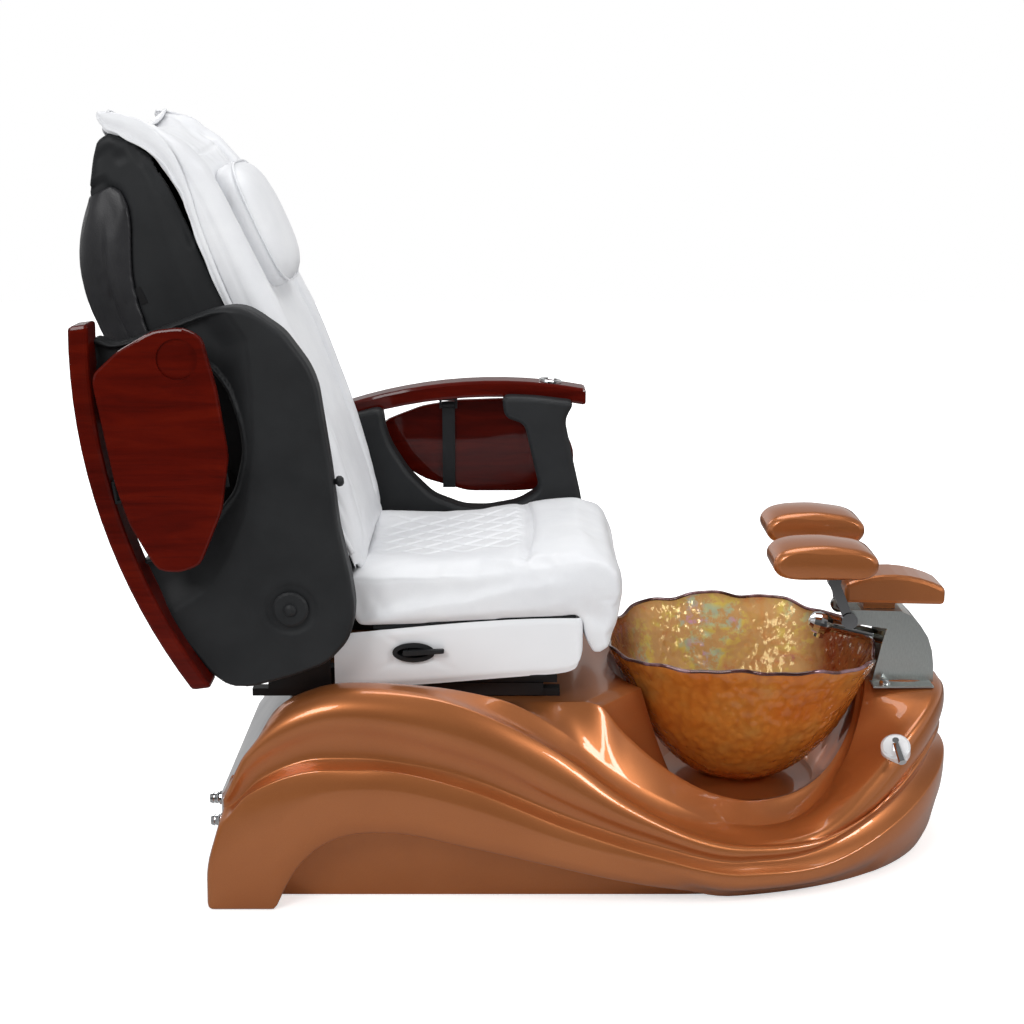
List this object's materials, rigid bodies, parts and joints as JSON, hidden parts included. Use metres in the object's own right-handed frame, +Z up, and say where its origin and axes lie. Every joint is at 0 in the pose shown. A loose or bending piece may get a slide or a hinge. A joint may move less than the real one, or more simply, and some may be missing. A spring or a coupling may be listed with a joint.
{
  "type": "pedicure_spa_chair",
  "caption": "Pedicure spa chair: padded massage chair with folding armrests and drop trays, sliding on a moulded foot-spa base with glass bowl and footrest.",
  "frame": {"origin": "On the floor under the middle of the chair's overall length and width.", "axes": "+X the way the sitter faces, +Y the sitter's left, +Z up."},
  "size_m": [1.5812, 0.804, 1.3707],
  "materials": {
    "copper": "metallic copper lacquer, high gloss",
    "grey_plastic": "plain moulded sheet",
    "steel": "black powder coat",
    "rubber": "matt",
    "stainless": "brushed and polished sheet",
    "glass": "amber hammered glass with a pearl sheen",
    "chrome": "polished",
    "black_plastic": "fine texture, satin",
    "white_plastic": "satin",
    "white_upholstery": "smooth coated cloth over foam",
    "black_upholstery": "grained coated cloth over foam",
    "cherry_wood": "dark cherry, high-gloss lacquer"
  },
  "bodies": {
    "base": {"base_shell": "copper", "rear_panel": "grey_plastic", "base_frame": "steel", "levelling_foot_rear_right": "rubber", "levelling_foot_rear_left": "rubber", "levelling_foot_front_right": "rubber", "levelling_foot_front_left": "rubber", "slide_rail_right": "stainless", "slide_rail_left": "stainless", "foot_bowl": "glass", "drain_strainer": "chrome", "drain_elbow": "grey_plastic", "jet_motor": "black_plastic", "jet_cover": "chrome", "hot_inlet": "chrome", "cold_inlet": "chrome", "mixer_body": "chrome", "spout": "chrome", "footrest_bracket": "stainless", "bracket_nut_right": "chrome", "bracket_nut_left": "chrome", "footrest_centre_pad": "copper"},
    "jet": {"jet_impeller": "white_plastic"},
    "mixer_handle": {"mixer_lever": "chrome"},
    "footrest_swing_right": {"footrest_arm_right": "chrome"},
    "footrest_swing_left": {"footrest_arm_left": "chrome"},
    "footrest_tilt_right": {"footrest_lug_right": "chrome", "footrest_pad_right": "copper"},
    "footrest_tilt_left": {"footrest_lug_left": "chrome", "footrest_pad_left": "copper"},
    "seat": {"slide_runner_right": "stainless", "slide_runner_left": "stainless", "seat_frame": "steel", "seat_box": "white_plastic", "lever_cup": "black_plastic", "seat_cushion": "white_upholstery"},
    "lever": {"slide_lever": "black_plastic"},
    "backrest": {"back_frame": "steel", "back_shell": "black_plastic", "back_pad": "black_upholstery", "back_cushion": "white_upholstery", "head_pillow": "white_upholstery"},
    "massage_unit": {"massage_carriage": "steel"},
    "massage_wheels": {"massage_roller": "rubber"},
    "actuator": {"recline_actuator": "steel"},
    "actuator_rod": {"recline_rod": "chrome"},
    "armrest_right": {"armrest_shell_right": "black_plastic", "armrest_plank_right": "cherry_wood", "pivot_cap_right": "black_plastic", "tray_hinge_right": "steel"},
    "armrest_left": {"armrest_shell_left": "black_plastic", "armrest_plank_left": "cherry_wood", "pivot_cap_left": "black_plastic", "tray_hinge_left": "steel", "controller_ring": "chrome"},
    "tray_arm_right": {"tray_arm_right": "black_plastic"},
    "tray_arm_left": {"tray_arm_left": "black_plastic"},
    "tray_leaf_right": {"tray_right": "cherry_wood"},
    "tray_leaf_left": {"tray_left": "cherry_wood"}
  },
  "joints": [
    {"name": "seat_slide", "type": "slide", "parent": "base", "child": "seat", "axis": [1, 0, 0], "range_m": [-0.05, 0.08]},
    {"name": "slide_lever", "type": "hinge", "parent": "seat", "child": "lever", "pos_m": [-0.218, -0.25, 0.4325], "axis": [0, -1, 0], "range_deg": [0, 12], "stiffness_Nm_per_rad": 0.2, "springref_deg": -5.73},
    {"name": "back_recline", "type": "hinge", "parent": "seat", "child": "backrest", "pos_m": [-0.335, 0, 0.5], "axis": [0, -1, 0], "range_deg": [-10, 25]},
    {"name": "actuator_swing", "type": "hinge", "parent": "seat", "child": "actuator", "pos_m": [-0.005, 0, 0.43], "axis": [0, 1, 0], "range_deg": [-2, 4]},
    {"name": "actuator_stroke", "type": "slide", "parent": "actuator", "child": "actuator_rod", "axis": [0.9988, 0, -0.0496], "range_m": [-0.012, 0.026]},
    {"name": "massage_travel", "type": "slide", "parent": "backrest", "child": "massage_unit", "axis": [-0.4067, 0, 0.9135], "range_m": [-0.26, 0.25]},
    {"name": "massage_spin", "type": "hinge", "parent": "massage_unit", "child": "massage_wheels", "pos_m": [-0.53046, 0, 0.90556], "axis": [0, 1, 0], "continuous": true},
    {"name": "right_armrest_fold", "type": "hinge", "parent": "seat", "child": "armrest_right", "pos_m": [-0.41, -0.298, 0.535], "axis": [0, 1, 0], "range_deg": [0, 97.5]},
    {"name": "left_armrest_fold", "type": "hinge", "parent": "seat", "child": "armrest_left", "pos_m": [-0.41, 0.298, 0.535], "axis": [0, -1, 0], "range_deg": [0, 97.5]},
    {"name": "right_tray_swing", "type": "hinge", "parent": "armrest_right", "child": "tray_arm_right", "pos_m": [-0.6786, -0.363, 0.7518], "axis": [0.1305, 0, -0.9914], "range_deg": [0, 90]},
    {"name": "left_tray_swing", "type": "hinge", "parent": "armrest_left", "child": "tray_arm_left", "pos_m": [-0.16, 0.363, 0.773], "axis": [1, 0, 0], "range_deg": [0, 90]},
    {"name": "right_tray_draw", "type": "slide", "parent": "tray_arm_right", "child": "tray_leaf_right", "axis": [0.9914, 0, 0.1305], "range_m": [0, 0.056]},
    {"name": "left_tray_draw", "type": "slide", "parent": "tray_arm_left", "child": "tray_leaf_left", "axis": [0, 0, -1], "range_m": [0, 0.056]},
    {"name": "right_footrest_swing", "type": "hinge", "parent": "base", "child": "footrest_swing_right", "pos_m": [0.614, -0.054, 0.43], "axis": [0, 1, 0], "range_deg": [-10, 30]},
    {"name": "left_footrest_swing", "type": "hinge", "parent": "base", "child": "footrest_swing_left", "pos_m": [0.614, 0.054, 0.43], "axis": [0, 1, 0], "range_deg": [-24, 16]},
    {"name": "right_footrest_tilt", "type": "hinge", "parent": "footrest_swing_right", "child": "footrest_tilt_right", "pos_m": [0.57883, -0.063, 0.51285], "axis": [0, 1, 0], "range_deg": [-15, 15]},
    {"name": "left_footrest_tilt", "type": "hinge", "parent": "footrest_swing_left", "child": "footrest_tilt_left", "pos_m": [0.59992, 0.063, 0.51889], "axis": [0, 1, 0], "range_deg": [-15, 15]},
    {"name": "mixer_turn", "type": "hinge", "parent": "base", "child": "mixer_handle", "pos_m": [0.67794, -0.21073, 0.23794], "axis": [-0.1677, -0.5985, 0.7834], "range_deg": [-40, 40]},
    {"name": "jet_spin", "type": "hinge", "parent": "base", "child": "jet", "pos_m": [0.369, 0, 0.12], "axis": [0, 0, 1], "continuous": true}
  ],
  "couplings": [
    {"joint": "actuator_swing", "follows": "back_recline", "ratio": 0.1},
    {"joint": "actuator_stroke", "follows": "back_recline", "m_per_rad": 0.0505},
    {"joint": "right_tray_draw", "follows": "right_tray_swing", "m_per_rad": 0.035},
    {"joint": "left_tray_draw", "follows": "left_tray_swing", "m_per_rad": 0.035}
  ]
}
